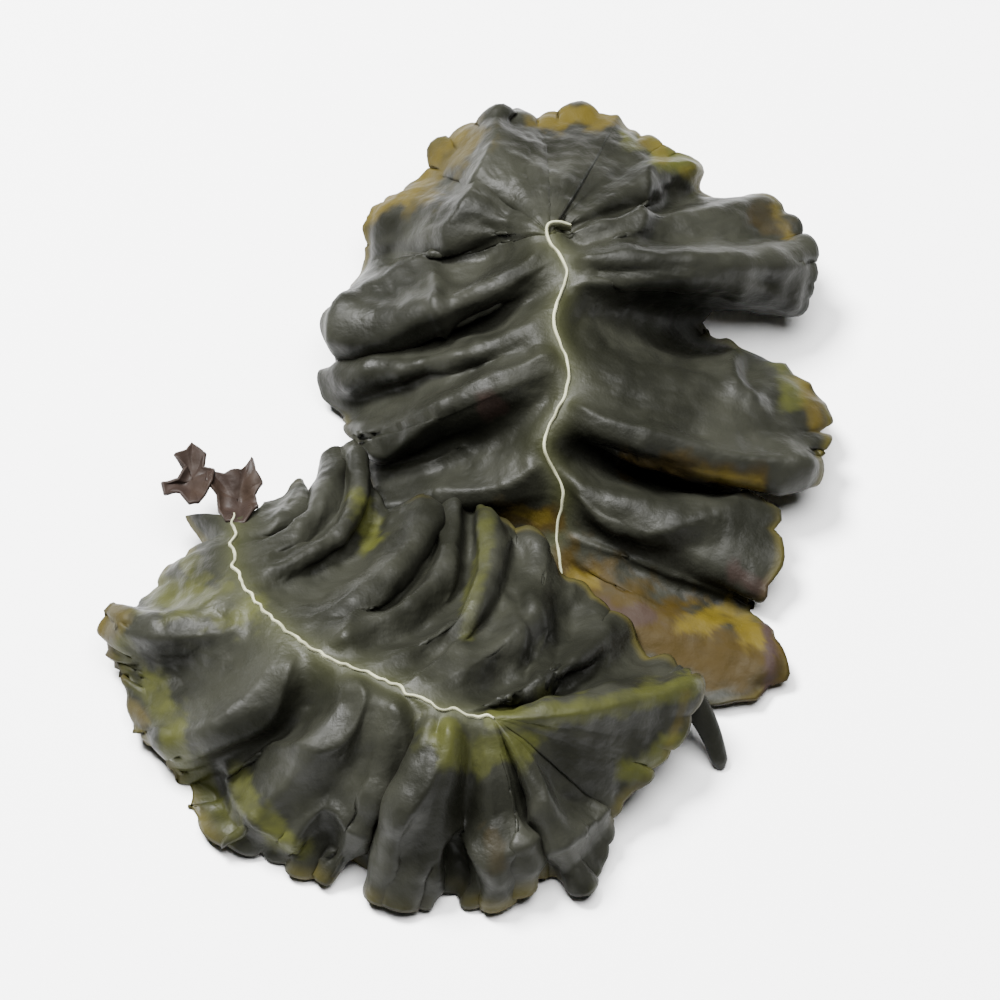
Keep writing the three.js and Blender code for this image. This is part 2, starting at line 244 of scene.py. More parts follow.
frontLeftForms = [
    ridge([(270, 560), (295, 545), (305, 515), (330, 478)], 1.6, 1.76),
    furrow([(275, 585), (305, 595), (340, 572), (383, 537)], 2.4, -1.71),
    ridge([(268, 535), (288, 512), (298, 487)], 0.6, 0.8),
    ridge([(318, 520), (330, 490), (343, 460)], 0.6, 0.8),
    ridge([(335, 555), (352, 510), (357, 452)], 0.6, 0.9),
    ridge([(330, 640), (345, 615), (368, 585), (385, 545)], 3.0, 1.1),
    ridge([(350, 640), (370, 610), (400, 570), (425, 535), (440, 500)], 1.4, 2.42),
    furrow([(380, 625), (412, 580), (432, 545)], 1.8, -1.26),
    ridge([(385, 540), (400, 514), (440, 497)], 1.2, 1.21),
    ridge([(445, 533), (450, 560), (447, 600)], 1.0, 1.65),
    furrow([(466, 510), (468, 560), (455, 620), (430, 660)], 2.2, -2.34),
    ridge([(486, 505), (486, 560), (480, 590), (470, 620), (458, 646), (438, 664), (408, 682)], 1.4, 2.53),
    ridge([(503, 545), (530, 542), (560, 552), (573, 574), (569, 598)], 1.0, 1.54),
    furrow([(525, 570), (548, 577)], 2.4, -1.35),
    ridge([(505, 600), (520, 630), (513, 665)], 0.8, 0.99),
    ridge([(530, 595), (541, 630), (534, 660), (546, 690)], 0.8, 1.1),
    furrow([(518, 600), (530, 640), (524, 680)], 0.7, -0.81),
    furrow([(553, 600), (557, 640), (551, 682)], 0.8, -0.9),
    ridge([(592, 608), (602, 640), (598, 674)], 1.6, 1.32),
    furrow([(570, 612), (572, 632)], 1.4, -1.17),
    furrow([(640, 655), (655, 672)], 1.4, -0.9),
    ridge([(497, 713), (560, 706), (630, 695), (688, 681)], 1.2, 1.98),
    furrow([(560, 690), (620, 684), (660, 674)], 1.6, -1.17),
    furrow([(500, 655), (495, 688), (512, 703)], 2.2, -1.8),
]
# olive and brown patches are the sheet's own tone; the gold and amber patches are the thin sheets' tint with
# painted light shining through them
frontPatches = [
    patch("goldTintAndShineThrough", [(120, 612), (106, 635), (112, 665), (110, 684)], 17, 0.42),
    patch("goldTintAndShineThrough", [(108, 618), (104, 640), (108, 672)], 7, 0.6),
    patch("goldTintAndShineThrough", [(118, 690), (150, 715)], 9, 0.35),
    patch("olive", [(150, 590), (210, 600), (245, 608)], 22, 0.8),
    patch("olive", [(180, 550), (205, 575)], 14, 0.7),
    patch("olive", [(130, 650), (180, 720), (195, 770), (240, 820)], 18, 0.8),
    patch("olive", [(245, 765), (262, 800), (300, 835)], 14, 0.9),
    patch("olive", [(362, 505), (372, 540)], 14, 0.9),
    patch("olive", [(440, 725), (470, 745), (520, 735)], 20, 0.8),
    patch("olive", [(497, 712), (600, 700), (688, 682)], 13, 0.8),
    patch("olive", [(630, 765), (668, 742)], 16, 1.0),
    patch("goldTintAndShineThrough", [(662, 748), (680, 690)], 5, 0.25),
    patch("amberTintAndShineThrough", [(652, 835), (668, 805), (682, 768)], 9, 0.5),
    patch("olive", [(600, 880), (650, 835), (675, 775)], 16, 0.7),
    patch("amberTintAndShineThrough", [(492, 822), (500, 850)], 10, 0.3),
    patch("olive", [(485, 505), (484, 560), (466, 632)], 9, 0.6),
    patch("amberTintAndShineThrough", [(205, 490), (215, 500)], 14, 0.5),
    patch("amberTintAndShineThrough", [(245, 497), (252, 485)], 11, 0.55),
]
# olive and brown patches are the sheet's own tone; the gold and amber patches are the thin sheets' tint with
# painted light shining through them
rearPatches = [
    patch("goldTintAndShineThrough", [(545, 108), (580, 102), (612, 103)], 15, 0.75),
    patch("goldTintAndShineThrough", [(470, 125), (440, 150), (414, 185)], 21, 0.5),
    patch("goldTintAndShineThrough", [(405, 192), (430, 155), (462, 122)], 8, 0.75),
    patch("goldTintAndShineThrough", [(392, 186), (368, 200)], 15, 0.75),
    patch("goldTintAndShineThrough", [(358, 215), (356, 245)], 8, 0.5),
    patch("olive", [(640, 118), (665, 140), (700, 162)], 18, 1.0),
    patch("goldTintAndShineThrough", [(690, 162), (716, 168)], 10, 0.4),
    patch("goldTintAndShineThrough", [(650, 130), (668, 146)], 9, 0.5),
    patch("amberTintAndShineThrough", [(762, 205), (788, 222)], 15, 0.45),
    patch("goldTintAndShineThrough", [(783, 200), (795, 230)], 6, 0.5),
    patch("goldTintAndShineThrough", [(790, 330), (806, 370), (815, 420)], 10, 0.5),
    patch("amberTintAndShineThrough", [(815, 395), (822, 425)], 8, 0.5),
    patch("olive", [(735, 330), (790, 345), (800, 400)], 16, 0.7),
    patch("amberTintAndShineThrough", [(625, 466), (690, 468), (757, 482)], 15, 0.75),
    patch("goldTintAndShineThrough", [(700, 470), (757, 484)], 9, 0.5),
    patch("amberTintAndShineThrough", [(510, 512), (558, 522)], 15, 0.9),
    patch("goldTintAndShineThrough", [(516, 508), (545, 518)], 8, 0.5),
    patch("amberTintAndShineThrough", [(570, 585), (640, 625), (720, 655), (762, 665)], 42, 1.0),
    patch("goldTintAndShineThrough", [(690, 625), (730, 612), (758, 640)], 14, 0.9),
    patch("goldTintAndShineThrough", [(575, 575), (592, 582)], 10, 0.7),
    patch("brown", [(600, 612), (650, 618)], 12, 0.8),
    patch("brown", [(765, 625), (768, 655), (763, 690)], 6, 1.0),
    patch("brown", [(485, 406), (500, 406)], 11, 0.8),
    patch("brown", [(735, 572), (762, 590)], 10, 0.7),
]
rearRightForms = [
    ridge([(597, 247), (640, 225), (645, 190), (653, 167), (690, 158), (717, 161)], 1.2, 2.5),
    furrow([(655, 235), (668, 200), (680, 178)], 2.2, -1.61),
    furrow([(568, 231), (583, 240), (600, 243)], 1.6, -2.76),
    ridge([(575, 262), (640, 260), (700, 262), (800, 262)], 1.3, 2.38),
    ridge([(570, 287), (640, 276), (740, 273), (800, 300)], 1.1, 2),
    furrow([(600, 269), (700, 268), (770, 276)], 0.8, -1.61),
    furrow([(562, 312), (640, 313), (720, 320), (785, 328)], 2.8, -2.76),
    ridge([(757, 347), (735, 362), (733, 385), (752, 401)], 1.2, 2.88),
    furrow([(753, 365), (754, 387)], 1.5, -1.61),
    ridge([(565, 402), (600, 425), (640, 435), (740, 460), (813, 466)], 1.4, 2.75),
    furrow([(650, 422), (676, 431), (702, 438)], 0.6, -0.92),
    furrow([(576, 455), (640, 463), (757, 476)], 2.7, -2.76),
    ridge([(565, 490), (640, 530), (700, 520), (777, 490)], 1.5, 2.75),
    furrow([(600, 530), (650, 548), (720, 545)], 1.5, -1.15),
    ridge([(565, 540), (640, 560), (740, 595)], 1.3, 2.12),
    furrow([(580, 572), (640, 588), (740, 614)], 2.3, -2.07),
    ridge([(600, 622), (680, 642), (760, 664)], 2.2, 1.25),
    ridge([(767, 627), (770, 655), (763, 688)], 0.8, 1.5),
]
rearLeftForms = [
    ridge([(500, 118), (500, 163), (462, 225), (425, 275), (353, 318)], 3.6, 6.4),
    furrow([(515, 130), (517, 180), (500, 225)], 2.4, -1.15),
    furrow([(497, 235), (472, 270), (450, 300)], 3.4, -3.6),
    ridge([(550, 243), (520, 273), (480, 293), (443, 310), (390, 330), (347, 328)], 1.6, 3.64),
    ridge([(443, 288), (444, 330)], 0.7, 2.24),
    furrow([(545, 264), (500, 302), (460, 325), (400, 345)], 2.6, -2.76),
    ridge([(395, 352), (430, 345), (470, 340)], 0.8, 1.26),
    ridge([(400, 372), (432, 360), (478, 352)], 0.7, 1.12),
    furrow([(405, 362), (440, 352), (470, 346)], 0.6, -0.92),
    ridge([(553, 357), (520, 377), (470, 400), (430, 423), (383, 450), (357, 441)], 1.6, 3.64),
    furrow([(545, 392), (500, 432), (450, 452), (400, 463)], 3.0, -2.53),
    ridge([(550, 463), (500, 490), (440, 497)], 1.6, 3.08),
    furrow([(545, 500), (500, 515), (460, 525)], 2.2, -1.61),
    ridge([(474, 114), (487, 102), (500, 109)], 0.8, 1.68),
    furrow([(395, 240), (420, 215), (455, 195)], 2.4, -1.38),
    furrow([(340, 300), (368, 312), (398, 306)], 1.3, -2.2),
    ridge([(352, 384), (380, 366), (410, 352)], 0.9, 2),
    furrow([(352, 400), (385, 392), (425, 376)], 1.5, -2.4),
    ridge([(380, 475), (420, 468), (462, 446)], 0.9, 1.8),
]


def smoothStep(low, high, value):
    t = np.clip((value - low) / (high - low), 0, 1)
    return t * t * (3 - 2 * t)


def edgeLine(points, samples=1200):
    # centripetal Catmull-Rom through the points, sampled evenly along its length
    p = np.array(points, float)
    p = np.vstack([2 * p[0] - p[1], p, 2 * p[-1] - p[-2]])
    curve = []
    for a, b, c, d in zip(p, p[1:], p[2:], p[3:]):
        ab, bc, cd = (math.sqrt(np.linalg.norm(q - r)) for q, r in ((a, b), (b, c), (c, d)))
        leave = ((b - a) / ab - (c - a) / (ab + bc) + (c - b) / bc) * bc
        arrive = ((c - b) / bc - (d - b) / (bc + cd) + (d - c) / cd) * bc
        t = np.linspace(0, 1, 200)[:, None]
        cubic = 3 * (c - b) - 2 * leave - arrive
        curve.append(b + leave * t + cubic * t**2 + (2 * (b - c) + leave + arrive) * t**3)
    curve = np.vstack(curve)
    steps = np.concatenate([[0], np.cumsum(np.linalg.norm(np.diff(curve, axis=0), axis=1))])
    even = np.linspace(0, steps[-1], samples)
    return even, np.stack([np.interp(even, steps, curve[:, k]) for k in range(3)], 1)


for frill in (frontFrill, rearFrill):
    frill["line"] = edgeLine(frill["edge"])


def onEdge(frill, along):
    even, places = frill["line"]
    return np.stack([np.interp(along, even, places[:, k]) for k in range(3)], -1)


def creaseField(creases, name, place):
    # a smooth value at a place in the list of creases
    column = np.array(creases, float)[:, creaseFields.index(name)]
    last = len(column) - 1
    index = np.clip(np.floor(place).astype(int), 0, last - 1)
    t = place - index
    a, b, c, d = (column[np.clip(index + step, 0, last)] for step in (-1, 0, 1, 2))
    if name == "lift":
        creased = np.where(b > c, 2 * t - t * t, t * t)
        share = sheet["crestSharpness"]
        return b + (c - b) * (creased * share + t * t * (3 - 2 * t) * (1 - share))
    leave, arrive = (c - a) / 2, (d - b) / 2
    return b + t * (leave + t * (3 * (c - b) - 2 * leave - arrive + t * (leave + arrive - 2 * (c - b))))


def surfaceNormals(points, side):
    run = np.gradient(points, axis=0)
    outward = np.gradient(points, axis=1)
    normals = np.cross(run, outward) * side
    return normals / np.maximum(np.linalg.norm(normals, axis=2, keepdims=True), 1e-9)


def blendUp(normals, away):
    # straight up beside the cut edge, where the creases crowd together
    blended = normals * away[..., None]
    blended[..., 2] += 1 - away
    return blended / np.linalg.norm(blended, axis=2, keepdims=True)


def toPixels(points):
    rise = points[..., 1] * math.sin(view["elevation"]) + points[..., 2] * math.cos(view["elevation"])
    x = view["originPixel"][0] + points[..., 0] / view["pixel"]
    y = view["originPixel"][1] - rise / view["pixel"]
    return np.stack([x, y], -1)


def pathDistance(pixels, path):
    # distance in pixels to a path, and how far along the path its nearest place is, from 0 to 1
    path = np.array(path, float)
    steps = np.linalg.norm(np.diff(path, axis=0), axis=1)
    total, passed = steps.sum(), 0.0
    best = np.full(pixels.shape[:-1], 1e9)
    share = np.zeros(pixels.shape[:-1])
    for start, end, length in zip(path, path[1:], steps):
        t = np.clip(((pixels - start) @ (end - start)) / length**2, 0, 1)
        gap = np.linalg.norm(pixels - start - t[..., None] * (end - start), axis=-1)
        nearer = gap < best
        best = np.where(nearer, gap, best)
        share = np.where(nearer, (passed + t * length) / total, share)
        passed += length
    return best, share


def smoothPath(path, samples=24):
    # rounds the corners of a path
    p = np.array(path, float)
    if len(p) < 3:
        return p
    _, places = edgeLine(np.column_stack([p, np.zeros(len(p))]), samples)
    return places[:, :2]


def formLift(points, normals, forms):
    toCamera = np.array([0, -math.cos(view["elevation"]), math.sin(view["elevation"])])
    facing = smoothStep(-0.25, 0.15, normals @ toCamera)
    pixels = toPixels(points)
    lift = np.zeros(facing.shape)
    for form in forms:
        gap, share = pathDistance(pixels, smoothPath(form["path"]))
        body = np.exp(-((gap * view["pixel"] / form["width"]) ** form["sharp"]))
        start, end = form["ends"]
        lift += form["height"] * body * (start + (end - start) * share)
    return lift * facing


def waves(u, v, scale, seed, octaves=3):
    # smooth seeded noise from crossed sine waves, about -1 to 1
    dice = np.random.default_rng(seed)
    total = np.zeros(np.broadcast(u, v).shape)
    weight = 1.0
    for _ in range(octaves):
        for _ in range(3):
            turn, phase = dice.uniform(0, 2 * math.pi, 2)
            size = dice.uniform(0.75, 1.3) / scale
            run = u * math.cos(turn) + v * math.sin(turn)
            total += weight * np.sin(run * size * 2 * math.pi + phase) / 2.2
        weight *= 0.5
        scale *= 0.5
    return total


def patchMask(points, patches, kind):
    # how far a point lies in the patches of one kind, from 0 to 1, with uneven borders
    pixels = toPixels(points)
    uneven = np.maximum(0.7, 1 + 0.4 * waves(points[..., 0], points[..., 1], 6, 41))
    mask = np.zeros(points.shape[:-1])
    for spot in patches:
        if spot["kind"] == kind:
            gap, _ = pathDistance(pixels, spot["path"])
            mask = np.maximum(mask, spot["amount"] * smoothStep(1.15, 0.45, gap / spot["width"] * uneven))
    return mask


def sheetPoints(frill, hand, forms):
    side = -1 if hand == "right" else 1
    creases = frill[hand]
    last = len(creases) - 1
    numbers = np.arange(last + 1)
    pitch, seed = sheet["pitch"], sheet["seed"]
    alongs = np.array([frill["right"], frill["left"]], float)[..., creaseFields.index("along")]
    along = np.interp(np.linspace(0, last, sheet["columns"]), numbers, alongs.mean(axis=0))[:, None]
    place = np.interp(along, alongs[0 if hand == "right" else 1], numbers)
    share = np.linspace(0, 1, sheet["rows"])[None, :]
    start = onEdge(frill, along)
    bearing = np.radians(creaseField(creases, "bearing", place))
    reach = creaseField(creases, "reach", place)
    # the margin is ragged: broken by small teeth and bites
    closing = smoothStep(last, last - 0.6, place)
    margin = start[..., :2] + reach[..., None] * np.stack([np.cos(bearing), np.sin(bearing)], -1)
    teeth = np.abs(waves(margin[..., 0], margin[..., 1], pitch["teeth"], seed["teeth"], 2)) ** 0.8 - 0.4
    out = share * reach
    inside = reach - out
    run = np.gradient(margin, axis=0)
    run /= np.maximum(np.linalg.norm(run, axis=2, keepdims=True), 1e-9)
    across = np.abs(run[..., 1] * np.cos(bearing) - run[..., 0] * np.sin(bearing)) ** 2
    ragged = sheet["raggedness"] * teeth * closing * across * smoothStep(sheet["raggedFrom"], 0, inside)
    aside = 4 * share * (1 - share) * creaseField(creases, "bow", place)
    x = start[..., 0] + (out + ragged) * np.cos(bearing) - aside * np.sin(bearing)
    y = start[..., 1] + (out + ragged) * np.sin(bearing) + aside * np.cos(bearing)
    fall = share ** sheet["power"]
    z = start[..., 2] * (1 - fall) + creaseField(creases, "rim", place) * fall
    dome = np.stack([x, y, z], -1)
    away = np.clip(out / sheet["crowdedWithin"], 0, 1)
    lift = creaseField(creases, "lift", place) * np.clip(out / sheet["liftedFrom"], 0, 1)
    lift = lift * (1 - frill["calm"][hand] * share**2)
    points = dome + blendUp(surfaceNormals(dome, side), away) * lift[..., None]
    normals = blendUp(surfaceNormals(points, side), away)
    firm = sheet["firmRim"] + (1 - sheet["firmRim"]) * smoothStep(0, 4, inside)
    firm = firm * smoothStep(0.5, 4.5, out)
    points = points + normals * (firm * formLift(points, normals, forms))[..., None]
    normals = blendUp(surfaceNormals(points, side), away)
    buckle = sheet["buckle"] * waves(dome[..., 0], dome[..., 1], pitch["buckle"], seed["buckle"])
    buckle = buckle * np.clip(out / 6, 0, 1)
    curl = sheet["curl"] * waves(margin[..., 0], margin[..., 1], pitch["curl"], seed["curl"], 2) * closing
    curl = curl * smoothStep(sheet["curlFrom"], 0, inside)
    # finer crumples, drawn out in the direction of the folds
    crossways = 2.2 * place * np.ones_like(out)
    crumple = 0.5 - np.abs(waves(crossways, out / 2.6, pitch["crumple"], seed["crumple"], 3))
    room = np.linalg.norm(np.gradient(dome, axis=0), axis=2)
    crumple = sheet["crumple"] * crumple * smoothStep(2, 9, out) * smoothStep(0.05, 0.3, room)
    points = points + normals * (buckle + curl + crumple)[..., None]
    points[..., 2] = np.maximum(points[..., 2], sheet["thickness"] / 2)
    extras = {"halo": np.exp(-out / sheet["haloWidth"]), "rim": smoothStep(sheet["rimWidth"], 0.3, inside)}
    return points, extras


def toFrame(points):
    shift = np.array(frillsLow) / mm - np.array(view["tablesLow"])
    return (points + shift) * mm


# gold and amber: the thin sheets' own tint, partly painted light shining through them
patchKinds = ("goldTintAndShineThrough", "amberTintAndShineThrough", "olive", "brown")


def withPatches(points, extras, patches):
    return {**extras, **{kind: patchMask(points, patches, kind) for kind in patchKinds}}


def addGrid(name, points, extras, flipped, thickness):
    # a grid primitive shaped to a field of points, its first axis along the columns, and given its thickness
    columns, rows = points.shape[:2]
    bpy.ops.object.select_all(action="DESELECT")
    bpy.ops.mesh.primitive_grid_add(
        x_subdivisions=columns - 1, y_subdivisions=rows - 1, size=2, calc_uvs=True
    )
    piece = bpy.context.object
    piece.name = name
    mesh = piece.data
    flat = np.empty(len(mesh.vertices) * 3)
    mesh.vertices.foreach_get("co", flat)
    flat = flat.reshape(-1, 3)
    column = np.rint((flat[:, 0] + 1) / 2 * (columns - 1)).astype(int)
    row = np.rint((flat[:, 1] + 1) / 2 * (rows - 1)).astype(int)
    mesh.vertices.foreach_set("co", toFrame(points[column, row]).reshape(-1))
    for key, values in extras.items():
        attribute = mesh.attributes.new(key, "FLOAT", "POINT")
        attribute.data.foreach_set("value", values[column, row].astype(np.float32))
    mesh.update()
    bpy.ops.object.mode_set(mode="EDIT")
    bpy.ops.mesh.select_all(action="SELECT")
    # closes the line where both sides of a frill meet
    bpy.ops.mesh.remove_doubles(threshold=1e-6)
    if flipped:
        bpy.ops.mesh.flip_normals()
    bpy.ops.object.mode_set(mode="OBJECT")
    solid = piece.modifiers.new("thickness", "SOLIDIFY")
    solid.thickness = thickness * mm
    solid.offset = 0
    bpy.ops.object.modifier_apply(modifier=solid.name)
    bpy.ops.object.shade_smooth()
    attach(piece, "root")
    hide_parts("frills")
    print(name, len(mesh.polygons) * 2, "triangles")
    return piece


def addFrill(name, frill, rightForms, leftForms, patches):
    right, rightExtras = sheetPoints(frill, "right", rightForms)
    left, leftExtras = sheetPoints(frill, "left", leftForms)
    # both sides end on one line, where the creases close round the end of the edge
    right[-1] = left[-1] = (right[-1] + left[-1]) / 2
    right[:, 0] = left[:, 0] = (right[:, 0] + left[:, 0]) / 2
    points = np.concatenate([right[:, ::-1], left[:, 1:]], axis=1)
    extras = {}
    for key, values in leftExtras.items():
        extras[key] = np.concatenate([rightExtras[key][:, ::-1], values[:, 1:]], axis=1)
    return addGrid(name, points, withPatches(points, extras, patches), False, sheet["thickness"])


sheets = [addFrill("frontFrill", frontFrill, frontRightForms, frontLeftForms, frontPatches)]
sheets.append(addFrill("rearFrill", rearFrill, rearRightForms, rearLeftForms, rearPatches))

# The cut face of each frill: a narrow pale rim. The rear one ends in a small hook.
frontRim = {
    "path": frontFrill["edge"],
    "columns": 520,
    "width": 0.2,
    "rise": 0.8,
    "zigzag": 0.36,
    "pitch": 7,
    "seed": 3,
}
rearHook = [(26.3, 86.4, 30.6), (26.4, 88.6, 31.2), (28.4, 89.5, 31.2), (30.8, 88.9, 30.9)]
rearRim = {
    "path": rearFrill["edge"][:-1] + rearHook,
    "columns": 420,
    "width": 0.19,
    "rise": 0.8,
    "zigzag": 0.16,
    "pitch": 8,
    "seed": 5,
}
rimSection = {"turns": (-30, 210), "points": 13, "sunk": 1.4, "thickness": 0.2}


def addRim(name, rim):
    _, line = edgeLine(rim["path"], rim["columns"])
    run = np.gradient(line, axis=0)
    aside = np.stack([-run[:, 1], run[:, 0], np.zeros(len(run))], -1)
    aside /= np.linalg.norm(aside, axis=1, keepdims=True)
    along = np.arange(rim["columns"]) * np.linalg.norm(run, axis=1)
    ends = smoothStep(0, 2.5, along) * smoothStep(0, 1.5, along[-1] - along)
    shift = rim["zigzag"] * waves(along, 0.3 * along, rim["pitch"], rim["seed"], 3) * ends
    width = rim["width"] * (1 + 0.22 * waves(along, -along, 9, rim["seed"] + 1, 2)) * (0.35 + 0.65 * ends)
    rise = rim["rise"] + 0.12 * waves(along, along, 12, rim["seed"] + 2, 2)
    turns = np.radians(np.linspace(*rimSection["turns"], rimSection["points"]))
    # the cut face is flat on top with worn corners, and its foot is sunk in the sheet
    across = shift[:, None] + width[:, None] * np.sign(np.cos(turns)) * np.abs(np.cos(turns)) ** 0.6
    foot = (turns < 0) | (turns > math.pi)
    points = line[:, None, :] + aside[:, None, :] * across[..., None]
    points[..., 2] += np.where(foot, -rimSection["sunk"], rise[:, None] * np.abs(np.sin(turns)) ** 0.5)
    return addGrid(name, points, {}, True, rimSection["thickness"])


rims = [addRim("frontRim", frontRim), addRim("rearRim", rearRim)]

# The torn dry scrap beyond the tip: two ragged flakes that overlap, each an outline round its middle, in mm
flakes = [
    {
        "middle": (-32.8, 38.2, 12.2),
        "outline": [(-31.2, 30.5), (-28.6, 35.4), (-29.4, 38), (-27.9, 40.6), (-29.5, 43.4), (-30.2, 47.4)]
        + [(-32.5, 44.2), (-35.2, 42.8), (-38.6, 43.4), (-38.8, 40.6), (-36.6, 38.4), (-36.2, 34.8)]
        + [(-34.8, 31)],
    },
    {
        "middle": (-41.4, 42.2, 12.6),
        "outline": [(-37.4, 40.5), (-37.2, 43.4), (-39.3, 44.2), (-39, 47.4), (-41.8, 50.6), (-42.6, 48.6)]
        + [(-45, 47), (-42.6, 44.6), (-44.2, 41.8), (-47.2, 41), (-46.7, 38.6), (-43.6, 38.2)]
        + [(-41.8, 35.4), (-40, 35.6)],
    },
]
flakeSheet = {
    "samples": 220,
    "rings": 18,
    "curl": 0.9,
    "pitch": 9,
    "seed": 51,
    "dish": 1.6,  # how far its margin stands above its middle
    "thickness": 0.6,
}


def addFlake(name, flake):
    outline = np.array(flake["outline"] + flake["outline"][:1], float)
    steps = np.concatenate([[0], np.cumsum(np.linalg.norm(np.diff(outline, axis=0), axis=1))])
    even = np.linspace(0, steps[-1], flakeSheet["samples"])
    ring = np.stack([np.interp(even, steps, outline[:, k]) for k in range(2)], -1)
    share = np.linspace(0.02, 1, flakeSheet["rings"])[None, :, None]
    middle = np.array(flake["middle"][:2])
    plan = middle + (ring[:, None, :] - middle) * share
    curl = waves(plan[..., 0], plan[..., 1], flakeSheet["pitch"], flakeSheet["seed"], 2)
    curl = flakeSheet["curl"] * curl + flakeSheet["dish"] * share[..., 0] ** 2
    points = np.dstack([plan, flake["middle"][2] + curl])
    # the flake's amber is its own tint, partly painted light shining through the thin flake
    mask = {"brown": np.full(curl.shape, 0.75), "amberTintAndShineThrough": patchMask(points, frontPatches, "amberTintAndShineThrough")}
    return addGrid(name, points, mask, True, flakeSheet["thickness"])


scraps = [addFlake("tornFlake" + str(number), flake) for number, flake in enumerate(flakes, 1)]

# The finger: a narrow curled strip that hangs from the end of the front frill
finger = {
    "from": (48.5, -2.2, 10.8),
    "bend": (55.5, -7.5, 11),
    "tip": (58.4, -15, 0.6),
    "widthAt": (0, 0.4, 0.95, 1),
    "width": (3.6, 2.4, 1.3, 0.4),
    "arch": 0.55,  # height of its curled section as a share of the width
    "halfTurn": 110,
    "samples": (70, 25),
    "thickness": 0.6,
}


def addFinger():
    t = np.linspace(0, 1, finger["samples"][0])[:, None]
    start, bend, tip = (np.array(finger[key], float) for key in ("from", "bend", "tip"))
    line = start * (1 - t) ** 2 + 2 * bend * t * (1 - t) + tip * t**2
    run = np.gradient(line, axis=0)
    aside = np.cross(run, (0, 0, 1))
    aside /= np.linalg.norm(aside, axis=1, keepdims=True)
    over = np.cross(aside, run)
    over /= np.linalg.norm(over, axis=1, keepdims=True)
    width = np.interp(t[:, 0], finger["widthAt"], finger["width"])
    turns = np.radians(np.linspace(-finger["halfTurn"], finger["halfTurn"], finger["samples"][1]))
    points = line[:, None, :] + (width[:, None] * np.sin(turns))[..., None] * aside[:, None, :]
    points = points + (finger["arch"] * width[:, None] * np.cos(turns))[..., None] * over[:, None, :]
    return addGrid("finger", points, {}, False, finger["thickness"])


strip = addFinger()


laminaLook = {
    "dark": (0.006, 0.0062, 0.0042),
    "light": (0.0145, 0.0148, 0.0108),
    "olive": (0.03, 0.032, 0.0065),
    "halo": (0.04, 0.043, 0.014),
    "rim": (0.04, 0.034, 0.007),
    # amber and gold: the thin sheets' own tint, partly painted light shining through them
    "amberTintAndShineThrough": (0.019, 0.0118, 0.0008),
    "goldTintAndShineThrough": (0.05, 0.0365, 0.0026),
    "brown": (0.018, 0.011, 0.009),
    "haloShare": 0.4,
    "rimShare": 0.7,
    "roughness": (0.4, 0.58),
    "thinRoughness": 0.2,
    "specular": 0.1,
    "bumpStrength": 0.6,
    "bumpDepth": 0.6 * mm,
}


